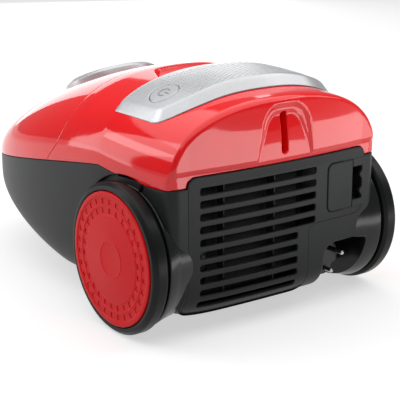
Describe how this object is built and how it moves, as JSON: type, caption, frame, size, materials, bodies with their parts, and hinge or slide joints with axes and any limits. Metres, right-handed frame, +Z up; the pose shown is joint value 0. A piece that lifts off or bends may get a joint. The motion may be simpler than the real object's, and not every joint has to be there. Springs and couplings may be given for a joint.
{
  "type": "canister vacuum cleaner",
  "caption": "Canister vacuum cleaner with glossy lid and hood, silver carry handle, hose inlet ring, drum wheels, exhaust grille and stowed mains plug.",
  "frame": {"origin": "on the floor under the middle of the machine's overall box", "axes": "+Z up, -Y towards the nose, +X towards the machine's left wheel as seen from behind on the right"},
  "size_m": [0.2668, 0.4, 0.2087],
  "materials": {
    "red_gloss_abs": "glossy moulded red",
    "red_satin_abs": "satin moulded red",
    "black_textured_abs": "fine spark-textured near-black",
    "silver_painted_abs": "metallic silver paint",
    "tyre_rubber": "dark grey soft tread",
    "black_rubber": "matt black",
    "grey_abs": "plain moulded grey",
    "plated_steel": "zinc-plated",
    "black_foam": "open foam",
    "filter_paper": "soft non-woven",
    "card": "stiff card"
  },
  "bodies": {
    "root": {"base_housing": "black_textured_abs", "rear_hood": "red_gloss_abs", "lid_hinge_pin": "plated_steel", "lid_seal": "black_rubber", "carry_handle": "silver_painted_abs", "power_spring": "plated_steel", "rewind_spring": "plated_steel", "switch_module": "black_textured_abs", "rewind_brake": "grey_abs", "exhaust_filter_frame": "grey_abs", "exhaust_filter": "black_foam", "axle_stub_left": "plated_steel", "axle_stub_right": "plated_steel", "dust_bag": "filter_paper", "bag_collar": "card", "bag_holder": "grey_abs", "motor_bulkhead": "black_textured_abs", "filter_cage": "grey_abs", "premotor_filter": "black_foam", "motor_can": "plated_steel", "motor_body": "plated_steel", "motor_mount_front": "black_rubber", "motor_mount_rear": "black_rubber", "reel_axle": "plated_steel", "reel_bracket": "grey_abs", "cord_gland": "black_rubber"},
    "lid": {"bag_lid": "red_gloss_abs", "hose_ring": "silver_painted_abs", "inlet_collar": "black_textured_abs", "inlet_seal": "black_rubber", "latch_pin": "plated_steel"},
    "latch": {"lid_latch": "red_gloss_abs"},
    "power_button": {"power_button": "silver_painted_abs"},
    "rewind_button": {"rewind_button": "silver_painted_abs"},
    "grille": {"exhaust_grille": "black_textured_abs"},
    "grille_tab": {"grille_latch": "black_textured_abs"},
    "wheel_left": {"wheel_rim_left": "tyre_rubber", "hub_disc_left": "red_satin_abs"},
    "wheel_right": {"wheel_rim_right": "tyre_rubber", "hub_disc_right": "red_satin_abs"},
    "caster_swivel": {"caster_yoke": "black_textured_abs", "caster_axle": "plated_steel"},
    "caster_roll": {"caster_wheel": "grey_abs"},
    "rotor": {"motor_rotor": "plated_steel"},
    "reel": {"reel_drum": "grey_abs", "cord_winding": "black_rubber"},
    "plug": {"plug_body": "black_rubber", "plug_pin_upper": "plated_steel", "plug_pin_lower": "plated_steel", "cord_lead": "black_rubber"}
  },
  "joints": [
    {"name": "lid_hinge", "type": "hinge", "parent": "root", "child": "lid", "pos_m": [0, 0.033, 0.19547], "axis": [-1, 0, 0], "range_deg": [0, 60]},
    {"name": "lid_latch_pivot", "type": "hinge", "parent": "lid", "child": "latch", "pos_m": [0, -0.167, 0.10866], "axis": [-1, 0, 0], "range_deg": [0, 10], "stiffness_Nm_per_rad": 0.8, "springref_deg": -8.59},
    {"name": "power_button_travel", "type": "slide", "parent": "root", "child": "power_button", "axis": [0, 0, -1], "range_m": [0, 0.002], "stiffness_N_per_m": 1500, "springref_m": -0.001, "deforming": ["power_spring"]},
    {"name": "rewind_button_travel", "type": "slide", "parent": "root", "child": "rewind_button", "axis": [0, 0, -1], "range_m": [0, 0.002], "stiffness_N_per_m": 1500, "springref_m": -0.001, "deforming": ["rewind_spring"]},
    {"name": "grille_hinge", "type": "hinge", "parent": "root", "child": "grille", "pos_m": [0.092, 0.1902, 0.085], "axis": [0, 0, -1], "range_deg": [0, 80]},
    {"name": "grille_tab_flex", "type": "hinge", "parent": "grille", "child": "grille_tab", "pos_m": [-0.054, 0.1935, 0.107], "axis": [0, 0, -1], "range_deg": [0, 12], "stiffness_Nm_per_rad": 0.4, "springref_deg": -5.73},
    {"name": "wheel_left_spin", "type": "hinge", "parent": "root", "child": "wheel_left", "pos_m": [0.1245, 0.135, 0.065], "axis": [1, 0, 0], "continuous": true},
    {"name": "wheel_right_spin", "type": "hinge", "parent": "root", "child": "wheel_right", "pos_m": [-0.1245, 0.135, 0.065], "axis": [1, 0, 0], "continuous": true},
    {"name": "caster_swivel_turn", "type": "hinge", "parent": "root", "child": "caster_swivel", "pos_m": [0, -0.108, 0.04], "axis": [0, 0, 1], "continuous": true},
    {"name": "caster_wheel_spin", "type": "hinge", "parent": "caster_swivel", "child": "caster_roll", "pos_m": [0, -0.095, 0.016], "axis": [1, 0, 0], "continuous": true},
    {"name": "motor_spin", "type": "hinge", "parent": "root", "child": "rotor", "pos_m": [0.03, 0.1, 0.086], "axis": [0, 1, 0], "continuous": true},
    {"name": "reel_turn", "type": "hinge", "parent": "root", "child": "reel", "pos_m": [-0.07, 0.08, 0.0765], "axis": [1, 0, 0], "range_deg": [0, 50]},
    {"name": "plug_pull", "type": "slide", "parent": "root", "child": "plug", "axis": [0, 1, 0], "range_m": [0, 0.035]}
  ],
  "couplings": [
    {"joint": "plug_pull", "follows": "reel_turn", "m_per_rad": 0.0395}
  ]
}
